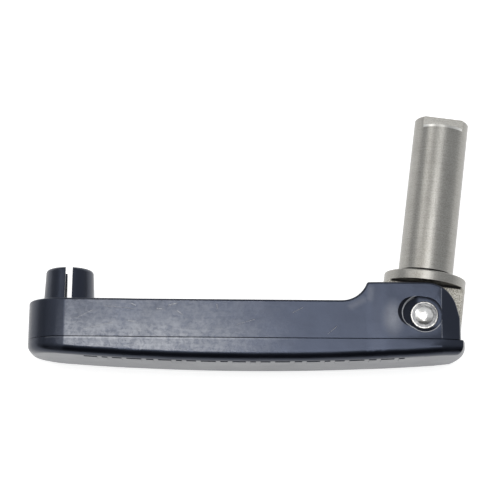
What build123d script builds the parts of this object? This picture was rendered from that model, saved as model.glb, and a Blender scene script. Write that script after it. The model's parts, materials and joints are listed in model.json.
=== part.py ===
from build123d import *
import os
from math import asin, cos, radians, sin, sqrt

os.makedirs("parts", exist_ok=True)

# Winch handle lying on its flat side, as it is laid on a table.
# +X runs along the arm from the split post to the hinge, +Y is the side the
# spindle stands on, +Z is up and parallel to the hinge pin. Millimetres.
# The origin is the middle of the bottom of the bounding box.

# hinge axis in the part's frame; every other dimension is taken from it
PIN_X, PIN_Y, PIN_Z = 59.0321, -28.4816, 15.0

# arm, in plan (seen along Y)
ARM_W = 15.0          # half width of the arm at its ends and ears
WAIST_W = 14.55       # half width of the arm between the ends
ARM_LEFT = -136.2     # rounded end under the post
END_R = 12.4          # corner radius of that end, in plan
POST_X = -122.8       # post axis
FLAT_RIGHT = 5.8      # crease where the flat side ends
EAR_RIGHT = 13.6      # end of the ears on the middle line
COVER_RIGHT = 14.9    # the same for the back cover, which carries the stop lip
FACET_X, FACET_W = 12.0, 13.2   # far side of the slanted facet after the crease
FACET_ROUND = 0.8
LIP_X, LIP_W = 13.1, 12.85         # the same for the back cover
# arm, in side view
TOP_Y = 4.84          # arm top, where the post stands
BLOCK_Y = 11.19       # flat top of the hinge block
SEAM_Y = -8.45        # joint between body and back cover
RISE_X, RISE_R = -28.2, 9.1   # start and radius of the sweep up to the block
EAR_ARC_X, EAR_ARC_END = 0.3, 15.0   # centre of the ears' round, and the angle it ends at
BOW_L, BOW_M, BOW_R = -13.0, -16.3, -12.9   # back of the cover at left, middle, right
BACK_FILLET = 3.3
WALL = 3.0
HOLLOW_LEFT, HOLLOW_RIGHT = -132.6, -21.0
HOLLOW_MID = (HOLLOW_LEFT + HOLLOW_RIGHT) / 2
HOLLOW_LEN = HOLLOW_RIGHT - HOLLOW_LEFT
SEAM_CHAMFER = 0.15

# fork and hinge
SLOT_HALF = 6.8       # half width of the fork
SLOT_LEFT = -15.7
PIN_R = 3.175
BUSH_R = 4.1
RING_R, RING_T = 4.8, 0.8
RECESS_R, RECESS_DEPTH = 6.0, 2.6
DISH_X, DISH_Y, DISH_R, DISH_DEPTH = -4.1, 0.9, 5.15, 1.5
DOME_R, DOME_H = 3.3, 0.95
RUN_FIT = 0.05

# spindle
LEAN = 6.9            # lean of the spindle from square, as stored
SHANK_R = 9.525
SPINDLE_LEN = 72.7    # hinge axis to tip
FLANGE_R = 14.29
FLANGE_LOW, FLANGE_T = 12.4, 3.3
RELIEF_R, RELIEF_W = 8.3, 1.5     # relief groove where the shank meets the flange
KNUCKLE_HALF = 6.3
BOSS_R = 8.0
OPEN_ANGLE = 15.5     # lean from square at which the knuckle lies on the cover
STOP_GAP = 0.1
FLAT_HALF, FLAT_LEN = 6.42, 3.3   # the two drive flats at the tip

# split post
POST_R0, POST_R1, POST_H = 8.82, 8.26, 12.2
POST_BORE, POST_SLOT, SLOT_TURN = 5.4, 2.4, 3.6

SIDE = Plane(origin=(PIN_X, PIN_Y, PIN_Z), x_dir=(1, 0, 0), z_dir=(0, 0, 1))


def plan(y):
    return Plane(origin=(PIN_X, PIN_Y + y, PIN_Z), x_dir=(1, 0, 0), z_dir=(0, -1, 0))


def up(y):
    return Plane(origin=(PIN_X, PIN_Y + y, PIN_Z), x_dir=(1, 0, 0), z_dir=(0, 1, 0))


def level(z):
    return Plane(origin=(PIN_X, PIN_Y, PIN_Z + z), x_dir=(1, 0, 0), z_dir=(0, 0, 1))


# arm body: upper moulding with the sweep, the fork ears and the split post
with BuildPart() as arm_body:
    with BuildSketch(plan(BLOCK_Y)):
        with BuildLine():
            Line((ARM_LEFT, 0), (ARM_LEFT, ARM_W - END_R))
            TangentArc((ARM_LEFT, ARM_W - END_R), (ARM_LEFT + END_R, ARM_W), tangent=(0, 1))
            Line((ARM_LEFT + END_R, ARM_W), (-106, ARM_W))
            a1 = TangentArc((-106, ARM_W), (-101, (ARM_W + WAIST_W) / 2), tangent=(1, 0))
            TangentArc((-101, (ARM_W + WAIST_W) / 2), (-96, WAIST_W), tangent=a1 % 1)
            Line((-96, WAIST_W), (-20.5, WAIST_W))
            a2 = TangentArc((-20.5, WAIST_W), (-16.5, (ARM_W + WAIST_W) / 2), tangent=(1, 0))
            TangentArc((-16.5, (ARM_W + WAIST_W) / 2), (-12.5, ARM_W), tangent=a2 % 1)
            Line((-12.5, ARM_W), (FLAT_RIGHT, ARM_W))
            Line((FLAT_RIGHT, ARM_W), (FACET_X, FACET_W))
            ear_r = (FACET_W**2 + (EAR_RIGHT - FACET_X) ** 2) / (2 * (EAR_RIGHT - FACET_X))
            ThreePointArc(
                (FACET_X, FACET_W),
                (EAR_RIGHT - ear_r + sqrt(ear_r**2 - FACET_W**2 / 4), FACET_W / 2),
                (EAR_RIGHT, 0),
            )
            mirror(about=Plane.XZ)
        make_face()
    extrude(amount=BLOCK_Y - SEAM_Y)
    rise_end = RISE_X + sqrt(RISE_R**2 - (TOP_Y + RISE_R - BLOCK_Y) ** 2)
    ex = EAR_ARC_X + BLOCK_Y * cos(radians(EAR_ARC_END))
    ey = BLOCK_Y * sin(radians(EAR_ARC_END))
    splay = sin(radians(EAR_ARC_END)) / cos(radians(EAR_ARC_END))
    fx = ex + (ey - SEAM_Y) * splay
    with BuildSketch(SIDE):
        with BuildLine():
            Polyline((ex, ey), (fx, SEAM_Y), (ARM_LEFT - 5, SEAM_Y), (ARM_LEFT - 5, TOP_Y), (RISE_X, TOP_Y))
            TangentArc((RISE_X, TOP_Y), (rise_end, BLOCK_Y), tangent=(1, 0))
            Line((rise_end, BLOCK_Y), (EAR_ARC_X, BLOCK_Y))
            TangentArc((EAR_ARC_X, BLOCK_Y), (ex, ey), tangent=(1, 0))
        make_face()
    extrude(amount=ARM_W + 5, both=True, mode=Mode.INTERSECT)
    ear_corner = arm_body.edges().filter_by(
        lambda e: e.length > 2 and abs(e.center().X - PIN_X - FACET_X) < 0.3 and abs(e.tangent_at(0.5).Y) > 0.99
    )
    fillet(ear_corner, FACET_ROUND)
    # small chamfer on the joint edge, moulded radius along the top outline
    lip = arm_body.edges().filter_by_position(Axis.Y, PIN_Y + SEAM_Y - 0.01, PIN_Y + SEAM_Y + 0.01)
    chamfer(lip, SEAM_CHAMFER)
    corner = arm_body.edges().filter_by(Axis.Z).filter_by_position(Axis.Y, PIN_Y + BLOCK_Y - 0.01, PIN_Y + BLOCK_Y + 0.01).sort_by(Axis.X)[0]
    fillet(corner, 0.9)
    # fork
    with BuildSketch(plan(BLOCK_Y + 1)):
        with Locations(((SLOT_LEFT + EAR_RIGHT + 4) / 2, 0)):
            Rectangle(EAR_RIGHT + 4 - SLOT_LEFT, 2 * SLOT_HALF)
    extrude(amount=BLOCK_Y - SEAM_Y + 2, mode=Mode.SUBTRACT)
    rim = arm_body.edges().filter_by(
        lambda e: e.center().Y > PIN_Y - 4.0
        and abs(e.center().Z - PIN_Z) > SLOT_HALF + 0.3
        and abs(e.tangent_at(0.5).Z) < 0.99
        and abs(e.tangent_at(0.5).Y) < 0.999
    ) + arm_body.edges().filter_by(Axis.Z).filter_by_position(Axis.X, PIN_X + ARM_LEFT - 0.01, PIN_X + ARM_LEFT + 0.01).filter_by_position(Axis.Y, PIN_Y + TOP_Y - 0.01, PIN_Y + TOP_Y + 0.01)
    fillet(rim, 0.8)
    # hollow, open at the joint
    with BuildSketch(plan(TOP_Y - WALL)):
        with Locations((HOLLOW_MID, 0)):
            RectangleRounded(HOLLOW_LEN, 2 * (WAIST_W - WALL), 7.0)
    extrude(amount=TOP_Y - WALL - SEAM_Y, mode=Mode.SUBTRACT)
    # cross ribs and one long rib, short of the cover's locating wall
    with BuildSketch(plan(TOP_Y - WALL)):
        with Locations(*[(x, 0) for x in (-106.0, -86.0, -66.0, -46.0)]):
            Rectangle(2.0, 2 * (WAIST_W - WALL) + 0.2)
        with Locations(((-106.0 - 21.0) / 2, 0)):
            Rectangle(85.2, 2.0)
    extrude(amount=TOP_Y - WALL - SEAM_Y - 2.2)
    # floor under the post
    with BuildSketch(plan(TOP_Y - WALL)):
        with Locations((POST_X, 0)):
            Circle(POST_R0 + 0.8)
    extrude(amount=1.5)
    # split post
    with BuildSketch(up(TOP_Y - 0.5)):
        with Locations((POST_X, 0)):
            Circle(POST_R0 + 0.02)
    with BuildSketch(up(TOP_Y + POST_H)):
        with Locations((POST_X, 0)):
            Circle(POST_R1)
    loft()
    tip = arm_body.edges().filter_by_position(Axis.Y, PIN_Y + TOP_Y + POST_H - 0.01, PIN_Y + TOP_Y + POST_H + 0.01)
    fillet(tip, 1.4)
    with BuildSketch(up(TOP_Y)):
        with Locations((POST_X, 0)):
            Circle(POST_BORE)
    extrude(amount=POST_H + 1, mode=Mode.SUBTRACT)
    with BuildSketch(up(TOP_Y)):
        with Locations(Location((POST_X, 0, 0), (0, 0, SLOT_TURN))):
            Rectangle(POST_SLOT, 4 * POST_R0)
    extrude(amount=POST_H + 1, mode=Mode.SUBTRACT)
    # bush bores through both ears
    with BuildSketch(level(-ARM_W - 1)):
        Circle(BUSH_R)
    extrude(amount=2 * ARM_W + 2, mode=Mode.SUBTRACT)
    # recesses around the pin ends, each with a conical dish off centre from the pin
    for face_z, way in ((ARM_W, -1), (-ARM_W, 1)):
        with BuildSketch(level(face_z)):
            with Locations((DISH_X, DISH_Y)):
                Circle(DISH_R)
        with BuildSketch(level(face_z + DISH_DEPTH * way)):
            with Locations((DISH_X, DISH_Y)):
                Circle(DISH_R - DISH_DEPTH)
        loft(mode=Mode.SUBTRACT)
        with BuildSketch(level(face_z)):
            Circle(RECESS_R)
            with Locations((-1.9, 0.67)):
                Circle(5.6)
        extrude(amount=RECESS_DEPTH * way, mode=Mode.SUBTRACT)
arm_body.part.label = "arm_body"
export_step(arm_body.part, "parts/arm_body.step")

# back cover: lower moulding with the bowed back and the lip the knuckle stops on
with BuildPart() as back_cover:
    with BuildSketch(plan(SEAM_Y)):
        with BuildLine():
            Line((ARM_LEFT, 0), (ARM_LEFT, ARM_W - END_R))
            TangentArc((ARM_LEFT, ARM_W - END_R), (ARM_LEFT + END_R, ARM_W), tangent=(0, 1))
            Line((ARM_LEFT + END_R, ARM_W), (-106, ARM_W))
            b1 = TangentArc((-106, ARM_W), (-101, (ARM_W + WAIST_W) / 2), tangent=(1, 0))
            TangentArc((-101, (ARM_W + WAIST_W) / 2), (-96, WAIST_W), tangent=b1 % 1)
            Line((-96, WAIST_W), (-20.5, WAIST_W))
            b2 = TangentArc((-20.5, WAIST_W), (-16.5, (ARM_W + WAIST_W) / 2), tangent=(1, 0))
            TangentArc((-16.5, (ARM_W + WAIST_W) / 2), (-12.5, ARM_W), tangent=b2 % 1)
            Line((-12.5, ARM_W), (FLAT_RIGHT, ARM_W))
            Line((FLAT_RIGHT, ARM_W), (LIP_X, LIP_W))
            lip_r = (LIP_W**2 + (COVER_RIGHT - LIP_X) ** 2) / (2 * (COVER_RIGHT - LIP_X))
            ThreePointArc(
                (LIP_X, LIP_W),
                (COVER_RIGHT - lip_r + sqrt(lip_r**2 - LIP_W**2 / 4), LIP_W / 2),
                (COVER_RIGHT, 0),
            )
            mirror(about=Plane.XZ)
        make_face()
    extrude(amount=16)
    with BuildSketch(SIDE):
        with BuildLine():
            ThreePointArc((ARM_LEFT - 2, BOW_L), (-60, BOW_M), (COVER_RIGHT + 2, BOW_R))
            Polyline((COVER_RIGHT + 2, BOW_R), (COVER_RIGHT + 2, SEAM_Y), (ARM_LEFT - 2, SEAM_Y), (ARM_LEFT - 2, BOW_L))
        make_face()
    extrude(amount=ARM_W + 5, both=True, mode=Mode.INTERSECT)
    back = back_cover.faces().sort_by(Axis.Y)[0]
    fillet(back.edges(), BACK_FILLET)
    joint = back_cover.faces().sort_by(Axis.Y)[-1]
    chamfer(joint.edges(), SEAM_CHAMFER)
    # shallow hollow, open at the joint, with cross ribs
    with BuildSketch(plan(SEAM_Y)):
        with Locations((-68.0, 0)):
            RectangleRounded(88.0, 2 * (WAIST_W - WALL - 2.0), 5.0)
    extrude(amount=3.2, mode=Mode.SUBTRACT)
    with BuildSketch(plan(SEAM_Y + 0.3)):
        with Locations(*[(x, 0) for x in (-96.0, -76.0, -56.0, -36.0)]):
            Rectangle(2.0, 2 * (WAIST_W - WALL - 2.0) + 0.2)
    extrude(amount=3.8)
    # locating wall standing inside the body
    with BuildSketch(up(SEAM_Y - 0.2)):
        with Locations((HOLLOW_MID, 0)):
            RectangleRounded(HOLLOW_LEN - 2 * RUN_FIT, 2 * (WAIST_W - WALL - RUN_FIT), 7.0 - RUN_FIT)
            RectangleRounded(HOLLOW_LEN - 2.8, 2 * (WAIST_W - WALL - 1.4), 7.0 - 1.4, mode=Mode.SUBTRACT)
    extrude(amount=1.8)
back_cover.part.label = "back_cover"
export_step(back_cover.part, "parts/back_cover.step")

# spindle: one turned bar, milled to a flat knuckle at the hinge end
ax, ay = sin(radians(LEAN)), cos(radians(LEAN))
LEANT = Plane(origin=(PIN_X, PIN_Y, PIN_Z), x_dir=(ay, -ax, 0), z_dir=(0, 0, 1))


def along(v):
    return Plane(origin=(PIN_X + v * ax, PIN_Y + v * ay, PIN_Z), x_dir=(ay, -ax, 0), z_dir=(ax, ay, 0))


with BuildPart() as spindle:
    so, co = sin(radians(OPEN_ANGLE)), cos(radians(OPEN_ANGLE))
    stop_d = -SEAM_Y - STOP_GAP
    v_side = (so * (FLANGE_R + 1) - stop_d) / co
    # knuckle: the bar's own round sides, two flats, and a sloping stop face each side
    with BuildSketch(along(-12)):
        Circle(FLANGE_R)
    extrude(amount=12 + FLANGE_LOW + 1)
    with BuildSketch(LEANT):
        with BuildLine():
            tx, ty = stop_d * so, -stop_d * co
            Polyline(
                (FLANGE_R + 1, FLANGE_LOW + 1), (FLANGE_R + 1, v_side), (tx, ty),
                (-tx, ty), (-FLANGE_R - 1, v_side), (-FLANGE_R - 1, FLANGE_LOW + 1), (FLANGE_R + 1, FLANGE_LOW + 1),
            )
        make_face()
    extrude(amount=KNUCKLE_HALF, both=True, mode=Mode.INTERSECT)
    # flange, shank and the two flats at the tip
    with BuildSketch(along(FLANGE_LOW)):
        Circle(FLANGE_R)
    extrude(amount=FLANGE_T)
    flange_rims = spindle.edges().filter_by(GeomType.CIRCLE).filter_by(lambda e: abs(e.radius - FLANGE_R) < 1e-3 and e.length > 6 * FLANGE_R)
    fillet(flange_rims, 0.45)
    with BuildSketch(along(FLANGE_LOW + FLANGE_T)):
        Circle(SHANK_R)
    extrude(amount=SPINDLE_LEN - FLANGE_LOW - FLANGE_T)
    with BuildSketch(along(FLANGE_LOW + FLANGE_T)):
        Circle(SHANK_R + 1)
        Circle(RELIEF_R, mode=Mode.SUBTRACT)
    extrude(amount=RELIEF_W, mode=Mode.SUBTRACT)
    end = spindle.edges().filter_by(GeomType.CIRCLE).filter_by(lambda e: abs(e.radius - SHANK_R) < 1e-3).sort_by(Axis.Y)[-1]
    chamfer(end, 0.45)
    for s in (1, -1):
        with BuildSketch(along(SPINDLE_LEN - FLAT_LEN)):
            with Locations((0, s * (FLAT_HALF + 5))):
                Rectangle(30, 10)
        extrude(amount=FLAT_LEN + 1, mode=Mode.SUBTRACT)
    # pin bore
    with BuildSketch(level(-KNUCKLE_HALF - 1)):
        Circle(PIN_R + RUN_FIT)
    extrude(amount=2 * KNUCKLE_HALF + 2, mode=Mode.SUBTRACT)
spindle.part.label = "spindle"
export_step(spindle.part, "parts/spindle.step")

# hinge pin with peened, domed ends
PIN_FACE = ARM_W - RECESS_DEPTH + RING_T
dome_r = (DOME_R**2 + DOME_H**2) / (2 * DOME_H)
half = asin(DOME_R / dome_r) / 2
mid_x, mid_z = dome_r * sin(half), PIN_FACE + DOME_H - dome_r * (1 - cos(half))
with BuildPart() as hinge_pin:
    with BuildSketch(Plane(origin=(PIN_X, PIN_Y, PIN_Z), x_dir=(1, 0, 0), z_dir=(0, -1, 0))):
        with BuildLine():
            Line((0, -PIN_FACE - DOME_H), (0, PIN_FACE + DOME_H))
            ThreePointArc((0, PIN_FACE + DOME_H), (mid_x, mid_z), (DOME_R, PIN_FACE))
            Polyline((DOME_R, PIN_FACE), (PIN_R, PIN_FACE), (PIN_R, -PIN_FACE), (DOME_R, -PIN_FACE))
            ThreePointArc((DOME_R, -PIN_FACE), (mid_x, -mid_z), (0, -PIN_FACE - DOME_H))
        make_face()
    revolve(axis=Axis((PIN_X, PIN_Y, PIN_Z), (0, 0, 1)))
hinge_pin.part.label = "hinge_pin"
export_step(hinge_pin.part, "parts/hinge_pin.step")

# flanged bushes that carry the pin in the ears
with BuildPart() as ear_bush_front:
    with BuildSketch(level(SLOT_HALF)):
        Circle(BUSH_R)
    extrude(amount=ARM_W - RECESS_DEPTH - SLOT_HALF)
    with BuildSketch(level(ARM_W - RECESS_DEPTH)):
        Circle(RING_R)
    extrude(amount=RING_T)
    ring_edge = ear_bush_front.edges().filter_by_position(Axis.Z, PIN_Z + PIN_FACE - 0.01, PIN_Z + PIN_FACE + 0.01)
    fillet(ring_edge, 0.35)
    with BuildSketch(level(SLOT_HALF - 1)):
        Circle(PIN_R)
    extrude(amount=ARM_W, mode=Mode.SUBTRACT)
ear_bush_front.part.label = "ear_bush_front"
export_step(ear_bush_front.part, "parts/ear_bush_front.step")

with BuildPart() as ear_bush_rear:
    with BuildSketch(level(-ARM_W + RECESS_DEPTH)):
        Circle(BUSH_R)
    extrude(amount=ARM_W - RECESS_DEPTH - SLOT_HALF)
    with BuildSketch(level(-PIN_FACE)):
        Circle(RING_R)
    extrude(amount=RING_T)
    ring_edge = ear_bush_rear.edges().filter_by_position(Axis.Z, PIN_Z - PIN_FACE - 0.01, PIN_Z - PIN_FACE + 0.01)
    fillet(ring_edge, 0.35)
    with BuildSketch(level(-ARM_W)):
        Circle(PIN_R)
    extrude(amount=ARM_W, mode=Mode.SUBTRACT)
ear_bush_rear.part.label = "ear_bush_rear"
export_step(ear_bush_rear.part, "parts/ear_bush_rear.step")

# thrust washers between the knuckle and the ears
with BuildPart() as thrust_washer_front:
    with BuildSketch(level(KNUCKLE_HALF + RUN_FIT)):
        Circle(7.0)
        Circle(PIN_R + RUN_FIT, mode=Mode.SUBTRACT)
    extrude(amount=SLOT_HALF - KNUCKLE_HALF - RUN_FIT)
thrust_washer_front.part.label = "thrust_washer_front"
export_step(thrust_washer_front.part, "parts/thrust_washer_front.step")

with BuildPart() as thrust_washer_rear:
    with BuildSketch(level(-SLOT_HALF)):
        Circle(7.0)
        Circle(PIN_R + RUN_FIT, mode=Mode.SUBTRACT)
    extrude(amount=SLOT_HALF - KNUCKLE_HALF - RUN_FIT)
thrust_washer_rear.part.label = "thrust_washer_rear"
export_step(thrust_washer_rear.part, "parts/thrust_washer_rear.step")

pieces = [arm_body, back_cover, spindle, hinge_pin, ear_bush_front, ear_bush_rear, thrust_washer_front, thrust_washer_rear]
box = Compound(children=[p.part for p in pieces]).bounding_box()
print("box", box.min, box.max, [round(p.part.volume, 1) for p in pieces], [len(p.part.solids()) for p in pieces])
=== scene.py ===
import json
import math

import bmesh
import bpy
from mathutils import Matrix, Vector


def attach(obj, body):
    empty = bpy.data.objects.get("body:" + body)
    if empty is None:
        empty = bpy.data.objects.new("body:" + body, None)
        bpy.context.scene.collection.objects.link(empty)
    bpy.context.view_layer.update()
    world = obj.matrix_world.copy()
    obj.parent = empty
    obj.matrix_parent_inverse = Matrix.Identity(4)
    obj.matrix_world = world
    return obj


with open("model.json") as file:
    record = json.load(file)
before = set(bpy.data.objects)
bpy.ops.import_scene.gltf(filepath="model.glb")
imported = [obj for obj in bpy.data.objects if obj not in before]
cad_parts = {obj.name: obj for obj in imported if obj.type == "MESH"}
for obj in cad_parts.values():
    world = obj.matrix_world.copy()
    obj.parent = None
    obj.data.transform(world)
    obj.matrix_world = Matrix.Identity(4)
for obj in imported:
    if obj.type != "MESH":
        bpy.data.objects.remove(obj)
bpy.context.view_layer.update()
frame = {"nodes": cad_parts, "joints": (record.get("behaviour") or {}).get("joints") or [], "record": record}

# ---------------------------------------------------------------- frame facts
joint = frame["joints"][0]
PIN = Vector(joint["pos_m"])
mount = {m["name"]: m for m in frame["record"]["mounts"]}
AXIS = Vector(mount["drive_spindle"]["axis"]).normalized()
LEAN = math.atan2(AXIS.x, AXIS.y)
nodes = frame["nodes"]
MM = 0.001


def at(x, y, z=0.0):
    """Millimetres from the hinge axis at mid width, to the frame in metres."""
    return Vector((PIN.x + x * MM, PIN.y + y * MM, PIN.z + z * MM))


# ---------------------------------------------------------------- camera
F_PX, DIST, TAU, ROLL, AZ = 1569.5, 0.55347, math.radians(12.4), math.radians(0.68), math.radians(-0.22)
target = at(-59.68, 25.11, 0.0)
back = Vector((math.sin(AZ) * math.sin(TAU), -math.cos(AZ) * math.sin(TAU), math.cos(TAU)))
right = Vector((math.cos(AZ), math.sin(AZ), 0.0))
up = back.cross(right)
r2 = right * math.cos(ROLL) + up * math.sin(ROLL)
u2 = up * math.cos(ROLL) - right * math.sin(ROLL)
cam_data = bpy.data.cameras.new("camera")
cam_data.sensor_width = 36.0
cam_data.lens = 36.0 * F_PX / 500.0
cam_data.clip_start = 0.01
cam_data.clip_end = 20.0
cam = bpy.data.objects.new("camera", cam_data)
bpy.context.scene.collection.objects.link(cam)
m = Matrix((r2, u2, back)).transposed().to_4x4()
m.translation = target + back * DIST
cam.matrix_world = m
bpy.context.scene.camera = cam
bpy.context.scene.view_settings.view_transform = "Standard"


# ---------------------------------------------------------------- node helpers
class Net:
    """A small wrapper that lays out shader nodes."""

    def __init__(self, name):
        self.mat = bpy.data.materials.new(name)
        self.mat.use_nodes = True
        self.t = self.mat.node_tree
        self.bsdf = self.t.nodes["Principled BSDF"]
        self.out = self.t.nodes["Material Output"]
        tc = self.t.nodes.new("ShaderNodeTexCoord")
        self.co = tc.outputs["Object"]
        self.n = 0

    def node(self, kind, **props):
        x = self.t.nodes.new(kind)
        self.n += 1
        x.location = (-300 - 30 * (self.n % 40), 400 - 60 * self.n)
        for k, v in props.items():
            setattr(x, k, v)
        return x

    def link(self, a, b):
        self.t.links.new(a, b)

    def put(self, sock, v):
        if isinstance(v, bpy.types.NodeSocket):
            self.link(v, sock)
        else:
            sock.default_value = v

    def math(self, op, a, b=None, c=None, clamp=False):
        x = self.node("ShaderNodeMath", operation=op, use_clamp=clamp)
        self.put(x.inputs[0], a)
        if b is not None:
            self.put(x.inputs[1], b)
        if c is not None:
            self.put(x.inputs[2], c)
        return x.outputs[0]

    def vmath(self, op, a, b=None):
        x = self.node("ShaderNodeVectorMath", operation=op)
        self.put(x.inputs[0], a)
        if b is not None:
            if op == "SCALE":
                self.put(x.inputs["Scale"], b)
            else:
                self.put(x.inputs[1], b)
        return x.outputs["Value"] if op in ("DOT_PRODUCT", "LENGTH", "DISTANCE") else x.outputs["Vector"]

    def noise(self, vec, scale, detail=2.0, rough=0.5, dist=0.0):
        x = self.node("ShaderNodeTexNoise")
        self.put(x.inputs["Vector"], vec)
        x.inputs["Scale"].default_value = scale
        x.inputs["Detail"].default_value = detail
        x.inputs["Roughness"].default_value = rough
        x.inputs["Distortion"].default_value = dist
        return x.outputs["Fac"]

    def voronoi(self, vec, scale, feature="F1"):
        x = self.node("ShaderNodeTexVoronoi", feature=feature)
        self.put(x.inputs["Vector"], vec)
        x.inputs["Scale"].default_value = scale
        return x.outputs["Distance"]

    def ramp(self, v, a, b, lo=0.0, hi=1.0, smooth=True):
        x = self.node("ShaderNodeMapRange", interpolation_type="SMOOTHSTEP" if smooth else "LINEAR")
        self.put(x.inputs["Value"], v)
        x.inputs["From Min"].default_value = a
        x.inputs["From Max"].default_value = b
        x.inputs["To Min"].default_value = lo
        x.inputs["To Max"].default_value = hi
        return x.outputs["Result"]

    def mix(self, f, a, b):
        x = self.node("ShaderNodeMix", data_type="RGBA")
        self.put(x.inputs["Factor"], f)
        self.put(x.inputs["A"], a)
        self.put(x.inputs["B"], b)
        return x.outputs["Result"]

    def bump(self, h, strength, distance, normal=None):
        x = self.node("ShaderNodeBump")
        self.put(x.inputs["Height"], h)
        x.inputs["Strength"].default_value = strength
        x.inputs["Distance"].default_value = distance
        if normal is not None:
            self.link(normal, x.inputs["Normal"])
        return x.outputs["Normal"]

    def xyz(self, vec):
        x = self.node("ShaderNodeSeparateXYZ")
        self.link(vec, x.inputs[0])
        return x.outputs

    def combine(self, a, b, c):
        x = self.node("ShaderNodeCombineXYZ")
        for i, v in enumerate((a, b, c)):
            self.put(x.inputs[i], v)
        return x.outputs[0]

    def segment(self, x, y, a, b, w):
        """1 on a thin line from a to b in the plane of two coordinates, falling to 0 at w."""
        ax, ay, bx, by = a[0], a[1], b[0], b[1]
        dx, dy = bx - ax, by - ay
        L = dx * dx + dy * dy
        px = self.math("SUBTRACT", x, ax)
        py = self.math("SUBTRACT", y, ay)
        t = self.math("ADD", self.math("MULTIPLY", px, dx / L), self.math("MULTIPLY", py, dy / L), clamp=True)
        qx = self.math("SUBTRACT", px, self.math("MULTIPLY", t, dx))
        qy = self.math("SUBTRACT", py, self.math("MULTIPLY", t, dy))
        d = self.math("SQRT", self.math("ADD", self.math("MULTIPLY", qx, qx), self.math("MULTIPLY", qy, qy)))
        return self.ramp(d, 0.0, w, 1.0, 0.0)


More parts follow.
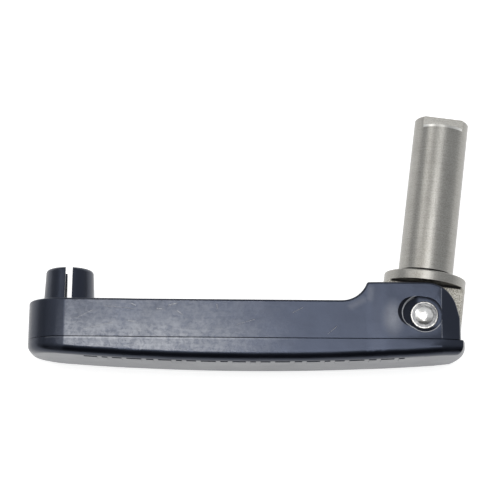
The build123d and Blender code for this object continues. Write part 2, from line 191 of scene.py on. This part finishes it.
# ---------------------------------------------------------------- materials
def plastic(name, side_marks=True):
    n = Net(name)
    b = n.bsdf
    x, y, z = n.xyz(n.co)
    grain = n.noise(n.co, 2600.0, 2.0, 0.6)
    fine = n.noise(n.co, 900.0, 3.0, 0.6)
    mid = n.noise(n.co, 620.0, 4.0, 0.66, 0.5)
    big = n.noise(n.co, 190.0, 3.0, 0.6, 0.4)
    soft = n.noise(n.co, 120.0, 2.0, 0.5)
    wide = n.noise(n.co, 38.0, 2.0, 0.5)
    streak = n.noise(n.combine(n.math("MULTIPLY", x, 130.0), n.math("ADD", n.math("MULTIPLY", y, 1100.0), n.math("MULTIPLY", x, 60.0)), n.math("MULTIPLY", z, 130.0)), 1.0, 3.0, 0.6, 0.8)
    # painted sheen: the flat sides are painted lighter towards the post and most along the cover below, with a
    # mottled haze through it
    g = n.node("ShaderNodeNewGeometry").outputs["Normal"]
    facing = n.ramp(n.math("ABSOLUTE", n.xyz(g)[2]), 0.985, 0.999, 0.0, 1.0)
    outer = n.ramp(n.math("ABSOLUTE", n.math("SUBTRACT", z, PIN.z)), 13.6 * MM, 14.3 * MM, 0.0, 1.0)
    side = n.math("MULTIPLY", facing, outer)
    along_x = n.math("MULTIPLY", n.ramp(x, at(-38, 0).x, at(-92, 0).x, 0.0, 1.0), n.ramp(x, at(-122.9, 0).x, at(-122.1, 0).x, 0.06, 1.0))
    down = n.ramp(y, at(0, 3.0).y, at(0, -11.0).y, 0.40, 1.0)
    painted_sheen_mask = n.math("MULTIPLY", n.math("MULTIPLY", along_x, down), side)
    # painted highlight: a soft pale patch on the flat of the ear, left of the pin
    pc = at(-10.8, -1.4)
    px = n.math("MULTIPLY", n.math("SUBTRACT", x, pc.x), 1.25)
    py = n.math("MULTIPLY", n.math("SUBTRACT", y, pc.y), 0.78)
    highlight_patch_dist = n.vmath("LENGTH", n.combine(px, py, 0.0))
    painted_highlight_patch = n.math("MULTIPLY", n.ramp(highlight_patch_dist, 0.0, 6.4 * MM, 0.52, 0.0), side)
    cloud = n.math("ADD", n.math("MULTIPLY", n.ramp(mid, 0.36, 0.64), 0.50), n.math("ADD", n.math("MULTIPLY", n.ramp(big, 0.36, 0.64), 0.30), n.math("MULTIPLY", n.ramp(streak, 0.38, 0.62), 0.20)))
    haze_and_painted_light = n.math("MULTIPLY", n.math("ADD", 0.28, n.math("MULTIPLY", cloud, 1.05)), painted_sheen_mask)
    haze_and_painted_light = n.math("MAXIMUM", haze_and_painted_light, n.math("MULTIPLY", n.math("ADD", 0.75, n.math("MULTIPLY", cloud, 0.35)), painted_highlight_patch))
    # painted highlight: a pale line along the joint's lower edge, stronger towards the left end
    seam_y = at(0, -8.45).y
    near = n.ramp(n.math("ABSOLUTE", n.math("SUBTRACT", y, seam_y - 0.42 * MM)), 0.10 * MM, 0.42 * MM, 1.0, 0.0)
    edge = n.math("MULTIPLY", n.math("MULTIPLY", near, outer), n.math("MULTIPLY", along_x, n.math("ADD", 0.45, n.math("MULTIPLY", cloud, 0.6))))
    haze_and_painted_light = n.math("MAXIMUM", haze_and_painted_light, edge)
    # dull, gritty floor in the recess round the pin
    pin_d = n.vmath("DISTANCE", n.combine(x, y, 0.0), tuple(Vector((at(-1.5, 0.6).x, at(-1.5, 0.6).y, 0.0))))
    sunk = n.math("MULTIPLY", n.ramp(pin_d, 7.6 * MM, 8.2 * MM, 1.0, 0.0), n.ramp(n.math("ABSOLUTE", n.math("SUBTRACT", z, PIN.z)), 14.6 * MM, 14.85 * MM, 1.0, 0.0))
    sunk = n.math("MULTIPLY", sunk, n.math("MAXIMUM", n.ramp(x, at(-3.4, 0).x, at(-1.2, 0).x, 1.0, 0.0), n.ramp(y, at(0, -4.8).y, at(0, -3.2).y, 1.0, 0.0)))
    rough = n.math("ADD", 0.30, n.math("MULTIPLY", n.math("SUBTRACT", soft, 0.5), 0.08))
    rough = n.math("ADD", rough, n.math("MULTIPLY", haze_and_painted_light, 0.18))
    rough = n.math("ADD", rough, n.math("MULTIPLY", sunk, 0.5))
    strip = n.math("MULTIPLY", outer, n.ramp(x, at(-123.2, 0).x, at(-122.5, 0).x, 1.0, 0.0))
    rough = n.math("ADD", rough, n.math("MULTIPLY", strip, 0.22))
    rough = n.math("ADD", rough, n.math("MULTIPLY", n.math("SUBTRACT", wide, 0.5), 0.05))
    base = n.mix(n.ramp(wide, 0.3, 0.7), (0.0016, 0.0018, 0.0032, 1), (0.0028, 0.0030, 0.0050, 1))
    # painted sheen and painted highlights lighten the near-black base towards a pale grey here
    base = n.mix(n.math("MULTIPLY", haze_and_painted_light, 0.86, clamp=True), base, (0.42, 0.43, 0.455, 1))
    # painted highlight along the band just below the joint
    base = n.mix(n.math("MULTIPLY", edge, 0.55), base, (0.62, 0.63, 0.66, 1))
    marks = None
    if side_marks:
        # light scratches and a chip on the side that lies up, joined below by painted highlight lines, arcs and
        # streaks
        upside = n.ramp(z, PIN.z + 12.5 * MM, PIN.z + 14.0 * MM, 0.0, 1.0)
        lines = [
            ((-87.2, 2.5), (-84.4, 3.2), 0.30), ((-84.3, 0.6), (-82.6, -0.6), 0.26),
            ((-70.9, 2.9), (-70.6, 1.5), 0.24),
            ((-99.9, 3.0), (-98.6, 2.3), 0.30), ((-91.2, 1.3), (-89.6, 1.2), 0.24),
            ((-97.4, -6.3), (-96.6, -6.5), 0.24), ((-100.9, -3.0), (-99.0, -3.2), 0.22),
            ((-118.0, -2.0), (-113.0, 0.6), 0.14), ((-116.0, -6.0), (-106.0, -3.6), 0.13),
            ((-109.0, 2.0), (-99.0, 1.2), 0.12), ((-64.0, -4.0), (-58.0, -2.2), 0.10),
            ((-45.0, 0.2), (-41.5, 2.0), 0.10), ((-33.0, -7.0), (-30.0, -4.4), 0.10),
        ]
        # painted highlights: a light line down the crease at the ear's end and a short one low on the side below the
        # pin
        painted_glint_lines = [
            ((5.62, 9.2), (5.62, -8.1), 0.24), ((-3.0, -10.6), (4.8, -10.2), 0.30),
        ]
        for a, c, w in lines + painted_glint_lines:
            pa, pc = at(*a), at(*c)
            sg = n.segment(x, y, (pa.x, pa.y), (pc.x, pc.y), w * MM)
            if (a, c, w) in painted_glint_lines:
                sg = n.math("MULTIPLY", sg, 0.30)
            marks = sg if marks is None else n.math("MAXIMUM", marks, sg)
        broken = n.ramp(n.noise(n.co, 1500.0, 2.0, 0.7), 0.30, 0.58, 0.20, 1.0)
        # painted highlights on the edges of the recess, on the left of the pin and below it
        arc1 = n.vmath("DISTANCE", n.combine(x, y, 0.0), tuple(Vector((at(-1.9, 0.67).x, at(-1.9, 0.67).y, 0.0))))
        arc1 = n.math("MULTIPLY", n.ramp(n.math("ABSOLUTE", n.math("SUBTRACT", arc1, 5.62 * MM)), 0.10 * MM, 0.34 * MM, 1.0, 0.0), n.ramp(x, at(-4.6, 0).x, at(-2.6, 0).x, 1.0, 0.0))
        arc2 = n.vmath("DISTANCE", n.combine(x, y, 0.0), (PIN.x, PIN.y, 0.0))
        arc2 = n.math("MULTIPLY", n.ramp(n.math("ABSOLUTE", n.math("SUBTRACT", arc2, 6.02 * MM)), 0.06 * MM, 0.30 * MM, 1.0, 0.0), n.ramp(y, at(0, -4.0).y, at(0, -2.6).y, 1.0, 0.0))
        # painted highlight streaks beside the fork's shoulder
        painted_streak = n.segment(x, y, (at(-18.4, 8.6).x, at(-18.4, 8.6).y), (at(-18.7, 5.4).x, at(-18.7, 5.4).y), 2.0 * MM)
        painted_streak2 = n.segment(x, y, (at(-25.0, 2.6).x, at(-25.0, 2.6).y), (at(-21.0, 4.8).x, at(-21.0, 4.8).y), 2.0 * MM)
        painted_streak = n.math("MULTIPLY", n.math("MAXIMUM", painted_streak, painted_streak2), 0.14)
        marks = n.math("MULTIPLY", n.math("MULTIPLY", marks, broken), upside)
        marks = n.math("MAXIMUM", marks, n.math("MULTIPLY", painted_streak, upside))
        painted_recess_highlights = n.math("MULTIPLY", n.math("MAXIMUM", arc1, arc2), n.ramp(z, PIN.z + 11.8 * MM, PIN.z + 12.2 * MM, 0.0, 1.0))
        marks = n.math("MAXIMUM", marks, n.math("MULTIPLY", painted_recess_highlights, n.math("ADD", 0.55, n.math("MULTIPLY", broken, 0.45))))
        # the scratches and the painted highlights are mixed into the base as a pale grey
        base = n.mix(n.math("MULTIPLY", marks, 0.85), base, (0.56, 0.57, 0.60, 1))
        rough = n.math("ADD", rough, n.math("MULTIPLY", marks, 0.3))
    n.put(b.inputs["Base Color"], base)
    n.put(b.inputs["Roughness"], n.math("MINIMUM", rough, 0.85))
    b.inputs["Specular Tint"].default_value = (0.62, 0.72, 1.0, 1.0)
    b.inputs["IOR"].default_value = 1.57
    h = n.math("ADD", n.math("MULTIPLY", grain, 0.4), n.math("MULTIPLY", fine, 0.9))
    nrm = n.bump(h, 0.25, 0.00008)
    nrm = n.bump(n.math("MULTIPLY", cloud, painted_sheen_mask), 0.35, 0.00012, nrm)
    nrm = n.bump(soft, 0.16, 0.0006, nrm)
    nrm = n.bump(wide, 0.16, 0.0016, nrm)
    if marks is not None:
        nrm = n.bump(n.math("MULTIPLY", marks, -1.0), 0.6, 0.0001, nrm)
    n.link(nrm, b.inputs["Normal"])
    return n.mat


SPINDLE_V = 72.7 * MM


def turned_steel(name):
    n = Net(name)
    b = n.bsdf
    rel = n.vmath("SUBTRACT", n.co, tuple(PIN))
    v = n.vmath("DOT_PRODUCT", rel, tuple(AXIS))
    cross = Vector((AXIS.y, -AXIS.x, 0.0))
    u = n.vmath("DOT_PRODUCT", rel, tuple(cross))
    w = n.xyz(rel)[2]
    # tool marks run round the bar: fast along it, slow across it
    ring = n.combine(n.math("MULTIPLY", v, 5200.0), n.math("MULTIPLY", u, 22.0), n.math("MULTIPLY", w, 22.0))
    ring2 = n.combine(n.math("MULTIPLY", v, 1500.0), n.math("MULTIPLY", u, 9.0), n.math("MULTIPLY", w, 9.0))
    r1 = n.noise(ring, 1.0, 3.0, 0.65)
    r2_ = n.noise(ring2, 1.0, 2.0, 0.5)
    blotch = n.noise(rel, 160.0, 3.0, 0.55)
    speck = n.noise(rel, 1900.0, 3.0, 0.7)
    pits = n.ramp(n.voronoi(rel, 900.0), 0.06, 0.20, 1.0, 0.0)
    # below the flange the bar is milled to a rough, speckled knuckle
    knuckle = n.ramp(v, 12.0 * MM, 12.35 * MM, 1.0, 0.0)
    lathe = n.math("SUBTRACT", 1.0, knuckle)
    col = n.mix(n.ramp(r1, 0.35, 0.65), (0.262, 0.254, 0.236, 1), (0.312, 0.304, 0.284, 1))
    grit = n.noise(rel, 2300.0, 2.0, 0.75)
    col = n.mix(n.math("MULTIPLY", n.ramp(grit, 0.42, 0.62), 0.45), col, (0.40, 0.392, 0.368, 1))
    col = n.mix(n.math("MULTIPLY", n.ramp(grit, 0.46, 0.30), 0.35), col, (0.17, 0.165, 0.15, 1))
    col = n.mix(n.math("MULTIPLY", n.ramp(r2_, 0.42, 0.66), 0.16), col, (0.37, 0.362, 0.338, 1))
    col = n.mix(n.math("MULTIPLY", n.ramp(blotch, 0.45, 0.7), 0.22), col, (0.225, 0.217, 0.20, 1))
    kcol = n.mix(n.ramp(speck, 0.4, 0.62), (0.22, 0.21, 0.185, 1), (0.50, 0.485, 0.44, 1))
    kcol = n.mix(n.math("MULTIPLY", pits, 0.6), kcol, (0.12, 0.11, 0.10, 1))
    col = n.mix(knuckle, col, kcol)
    # painted highlight: the step below each drive flat is painted bright, brighter towards its ends
    step = SPINDLE_V - 3.3 * MM
    flat_step_highlight = n.math("MULTIPLY", n.ramp(v, step - 0.95 * MM, step - 0.75 * MM, 0.0, 1.0), n.ramp(v, step + 0.02 * MM, step + 0.06 * MM, 1.0, 0.0))
    flat_step_highlight = n.math("MULTIPLY", flat_step_highlight, n.ramp(n.math("ABSOLUTE", w), 6.3 * MM, 6.9 * MM, 0.0, 1.0))
    flat_step_highlight = n.math("MULTIPLY", flat_step_highlight, n.math("ADD", 0.35, n.math("MULTIPLY", n.ramp(n.math("ABSOLUTE", u), 1.0 * MM, 6.0 * MM), 0.65)))
    col = n.mix(n.math("MULTIPLY", flat_step_highlight, 0.8), col, (0.86, 0.85, 0.82, 1))
    # painted shade under the flange and in the relief groove
    far = n.vmath("LENGTH", n.combine(u, 0.0, w))
    under = n.math("MULTIPLY", n.ramp(n.math("ABSOLUTE", n.math("SUBTRACT", v, 12.3 * MM)), 0.25 * MM, 0.7 * MM, 1.0, 0.0), n.ramp(far, 13.4 * MM, 13.95 * MM, 1.0, 0.0))
    groove = n.math("MULTIPLY", n.ramp(n.math("ABSOLUTE", n.math("SUBTRACT", v, 16.4 * MM)), 0.74 * MM, 0.90 * MM, 1.0, 0.0), n.ramp(far, 9.35 * MM, 9.5 * MM, 1.0, 0.0))
    painted_shade = n.math("MAXIMUM", under, groove)
    col = n.mix(n.math("MULTIPLY", painted_shade, 0.97), col, (0.012, 0.011, 0.012, 1))
    n.put(b.inputs["Base Color"], col)
    b.inputs["Metallic"].default_value = 1.0
    rough = n.math("ADD", 0.28, n.math("MULTIPLY", r1, 0.05))
    rough = n.math("ADD", rough, n.math("MULTIPLY", grit, 0.06))
    rough = n.math("ADD", rough, n.math("MULTIPLY", blotch, 0.06))
    rough = n.math("ADD", rough, n.math("MULTIPLY", knuckle, 0.14))
    n.put(b.inputs["Roughness"], rough)
    h1 = n.math("MULTIPLY", n.math("ADD", n.math("MULTIPLY", r1, 0.55), n.math("MULTIPLY", r2_, 0.8)), lathe)
    nrm = n.bump(h1, 0.26, 0.00005)
    nrm = n.bump(n.math("MULTIPLY", grit, lathe), 0.30, 0.00005, nrm)
    h2 = n.math("MULTIPLY", speck, knuckle)
    nrm = n.bump(h2, 0.6, 0.00016, nrm)
    nrm = n.bump(blotch, 0.12, 0.0004, nrm)
    n.link(nrm, b.inputs["Normal"])
    return n.mat


def bright_steel(name, lo, hi, r0, hammered, ring=False):
    n = Net(name)
    b = n.bsdf
    blotch = n.noise(n.co, 420.0, 3.0, 0.6)
    fine = n.noise(n.co, 2600.0, 2.0, 0.6)
    col = n.mix(n.ramp(blotch, 0.35, 0.65), lo, hi)
    col = n.mix(n.math("MULTIPLY", n.ramp(fine, 0.6, 0.75), 0.4), col, (0.35, 0.33, 0.31, 1))
    if ring:
        # only the outer edge of the flange is bright; inside it the ring is coloured darker
        x, y, z = n.xyz(n.co)
        d = n.vmath("DISTANCE", n.combine(x, y, 0.0), (PIN.x, PIN.y, 0.0))
        edge = n.ramp(d, 4.15 * MM, 4.4 * MM, 0.0, 1.0)
        col = n.mix(edge, n.mix(n.ramp(blotch, 0.3, 0.7), (0.10, 0.10, 0.105, 1), (0.22, 0.22, 0.22, 1)), col)
    n.put(b.inputs["Base Color"], col)
    b.inputs["Metallic"].default_value = 1.0
    n.put(b.inputs["Roughness"], n.math("ADD", r0, n.math("MULTIPLY", blotch, 0.16)))
    nrm = n.bump(blotch, hammered, 0.0009)
    nrm = n.bump(fine, 0.25, 0.00006, nrm)
    n.link(nrm, b.inputs["Normal"])
    return n.mat


def nylon(name):
    n = Net(name)
    b = n.bsdf
    g = n.noise(n.co, 700.0, 3.0, 0.6)
    n.put(b.inputs["Base Color"], n.mix(g, (0.62, 0.60, 0.54, 1), (0.80, 0.78, 0.72, 1)))
    n.put(b.inputs["Roughness"], n.math("ADD", 0.42, n.math("MULTIPLY", g, 0.2)))
    b.inputs["Subsurface Weight"].default_value = 0.15
    b.inputs["Subsurface Radius"].default_value = (0.002, 0.0018, 0.0014)
    n.link(n.bump(g, 0.2, 0.0001), b.inputs["Normal"])
    return n.mat


MATS = {
    "arm_body": plastic("arm_plastic"),
    "back_cover": plastic("cover_plastic", side_marks=False),
    "spindle": turned_steel("spindle_steel"),
    "hinge_pin": bright_steel("pin_steel", (0.80, 0.79, 0.77, 1), (0.95, 0.945, 0.93, 1), 0.22, 0.30),
    "ear_bush_front": bright_steel("bush_steel", (0.42, 0.41, 0.40, 1), (0.60, 0.59, 0.57, 1), 0.26, 0.25, ring=True),
    "washer": nylon("washer_nylon"),
}
MATS["ear_bush_rear"] = MATS["ear_bush_front"]
MATS["thrust_washer_front"] = MATS["thrust_washer_rear"] = MATS["washer"]

for name, o in nodes.items():
    o.data.materials.clear()
    o.data.materials.append(MATS[name])
    for p in o.data.polygons:
        p.use_smooth = True
        p.material_index = 0
    w = o.modifiers.new("weld", "WELD")
    w.merge_threshold = 1e-6
    e = o.modifiers.new("split", "EDGE_SPLIT")
    e.split_angle = math.radians(32)
    e.use_edge_sharp = False
    wn = o.modifiers.new("normals", "WEIGHTED_NORMAL")
    wn.mode = "FACE_AREA"
    wn.weight = 50
    wn.keep_sharp = True


# ---------------------------------------------------------------- raised bars on the back
def back_y(x):
    """Height of the bowed back of the cover at x, all in mm from the hinge axis."""
    x0, y0, x1, y1, x2, y2 = -138.2, -13.0, -60.0, -16.3, 17.2, -12.9
    d = 2 * (x0 * (y1 - y2) + x1 * (y2 - y0) + x2 * (y0 - y1))
    s0, s1, s2 = x0 * x0 + y0 * y0, x1 * x1 + y1 * y1, x2 * x2 + y2 * y2
    cx = (s0 * (y1 - y2) + s1 * (y2 - y0) + s2 * (y0 - y1)) / d
    cy = (s0 * (x2 - x1) + s1 * (x0 - x2) + s2 * (x1 - x0)) / d
    r = math.hypot(x0 - cx, y0 - cy)
    return cy - math.sqrt(r * r - (x - cx) ** 2)


def grip_bars():
    """Plain raised bars along the back, following its bow."""
    bm = bmesh.new()
    H, ZA, ZB, GAP = 0.26, 6.4, 11.5, 1.5
    lengths = (4.6, 2.0, 3.4, 5.2, 2.6)
    cuts = [-1.0, -0.985, -0.96, -0.92, -0.85, -0.6, 0.0, 0.6, 0.85, 0.92, 0.96, 0.985, 1.0]
    N = len(cuts)

    def wall(t, half):
        d = (1 - abs(t)) * half
        q = min(1.0, d / 0.14)
        return math.sqrt(max(0.0, 1 - (1 - q) ** 2))

    x = -116.0
    k = 0
    while x < -6.0:
        rows = []
        L = lengths[k % len(lengths)]
        k += 1
        for u in cuts:
            for v in cuts:
                px = x + L / 2 + u * L / 2
                pz = (ZA + ZB) / 2 + v * (ZB - ZA) / 2
                h = H * wall(u, L / 2) * wall(v, (ZB - ZA) / 2)
                rows.append(bm.verts.new(at(px, back_y(px) + 0.06 - h, pz)))
        for i in range(N - 1):
            for j in range(N - 1):
                bm.faces.new((rows[i * N + j], rows[(i + 1) * N + j], rows[(i + 1) * N + j + 1], rows[i * N + j + 1]))
        ring = [i * N for i in range(N)]
        ring += [(N - 1) * N + j for j in range(1, N)]
        ring += [i * N + N - 1 for i in range(N - 2, -1, -1)]
        ring += [j for j in range(N - 2, 0, -1)]
        low = [bm.verts.new(rows[k].co + Vector((0, 0.25 * MM, 0))) for k in ring]
        for q in range(len(ring)):
            r = (q + 1) % len(ring)
            bm.faces.new((rows[ring[r]], rows[ring[q]], low[q], low[r]))
        bm.faces.new(low)
        x += L + GAP
    bmesh.ops.recalc_face_normals(bm, faces=bm.faces)
    me = bpy.data.meshes.new("back_bars")
    bm.to_mesh(me)
    bm.free()
    for p in me.polygons:
        p.use_smooth = True
    o = bpy.data.objects.new("back_bars", me)
    bpy.context.scene.collection.objects.link(o)
    me.materials.append(MATS["back_cover"])
    e = o.modifiers.new("split", "EDGE_SPLIT")
    e.split_angle = math.radians(60)
    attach(o, "arm")
    return o


grip_bars()


# ---------------------------------------------------------------- stage
def plane(name, size, z, mat):
    bm = bmesh.new()
    bmesh.ops.create_grid(bm, x_segments=2, y_segments=2, size=size / 2)
    me = bpy.data.meshes.new(name)
    bm.to_mesh(me)
    bm.free()
    o = bpy.data.objects.new(name, me)
    o.location = (0, 0, z)
    bpy.context.scene.collection.objects.link(o)
    me.materials.append(mat)
    return o


fm = bpy.data.materials.new("floor_paper")
fm.use_nodes = True
fb = fm.node_tree.nodes["Principled BSDF"]
fb.inputs["Base Color"].default_value = (0.62, 0.62, 0.62, 1)
fb.inputs["Roughness"].default_value = 0.9
fb.inputs["Specular IOR Level"].default_value = 0.1
fb.inputs["Emission Color"].default_value = (1, 1, 1, 1)
fb.inputs["Emission Strength"].default_value = 0.78
plane("floor", 6.0, -0.0002, fm)

world = bpy.data.worlds.new("studio")
bpy.context.scene.world = world
world.use_nodes = True
wt = world.node_tree
bg = wt.nodes["Background"]
tc = wt.nodes.new("ShaderNodeTexCoord")
sep = wt.nodes.new("ShaderNodeSeparateXYZ")
wt.links.new(tc.outputs["Generated"], sep.inputs[0])


def wramp(src, a, b, lo, hi):
    x = wt.nodes.new("ShaderNodeMapRange")
    x.interpolation_type = "SMOOTHSTEP"
    wt.links.new(src, x.inputs["Value"])
    x.inputs["From Min"].default_value = a
    x.inputs["From Max"].default_value = b
    x.inputs["To Min"].default_value = lo
    x.inputs["To Max"].default_value = hi
    return x.outputs["Result"]


def wmul(a, b):
    x = wt.nodes.new("ShaderNodeMath")
    x.operation = "MULTIPLY"
    wt.links.new(a, x.inputs[0])
    if isinstance(b, float):
        x.inputs[1].default_value = b
    else:
        wt.links.new(b, x.inputs[1])
    return x.outputs[0]


front_dark = wramp(sep.outputs[1], -0.7, 0.15, 0.03, 1.0)
leftward = wramp(sep.outputs[0], -0.8, 0.7, 0.56, 0.68)
amb = wmul(front_dark, leftward)
bg.inputs["Color"].default_value = (0.96, 0.98, 1.0, 1)
wt.links.new(amb, bg.inputs["Strength"])
# the backdrop that the camera sees past the floor is plain and pale
bg2 = wt.nodes.new("ShaderNodeBackground")
bg2.inputs["Color"].default_value = (1.0, 1.0, 1.0, 1)
bg2.inputs["Strength"].default_value = 1.0
lp = wt.nodes.new("ShaderNodeLightPath")
mx = wt.nodes.new("ShaderNodeMixShader")
wt.links.new(lp.outputs["Is Camera Ray"], mx.inputs[0])
wt.links.new(bg.outputs[0], mx.inputs[1])
wt.links.new(bg2.outputs[0], mx.inputs[2])
wt.links.new(mx.outputs[0], wt.nodes["World Output"].inputs["Surface"])


def panel(name, pos, look, sx, sy, radiance, color=(1, 1, 1)):
    d = bpy.data.lights.new(name, "AREA")
    d.shape = "RECTANGLE"
    d.size, d.size_y = sx, sy
    d.energy = radiance * 4.0 * sx * sy
    d.color = color
    o = bpy.data.objects.new(name, d)
    o.location = pos
    o.rotation_euler = (Vector(look) - Vector(pos)).to_track_quat("-Z", "Y").to_euler()
    bpy.context.scene.collection.objects.link(o)
    return o


panel("overhead", (0.055, 0.0, 1.10), (0.055, 0.0, 0), 0.36, 0.62, 3.8, (1.0, 1.0, 1.0))
panel("key_left", (-0.62, 0.42, 0.70), (0, 0, 0), 0.30, 0.40, 2.0, (1.0, 0.99, 0.97))
panel("near_left", (-0.075, -0.012, 0.40), (-0.075, -0.012, 0), 0.12, 0.07, 7.0, (1.0, 0.95, 0.88))
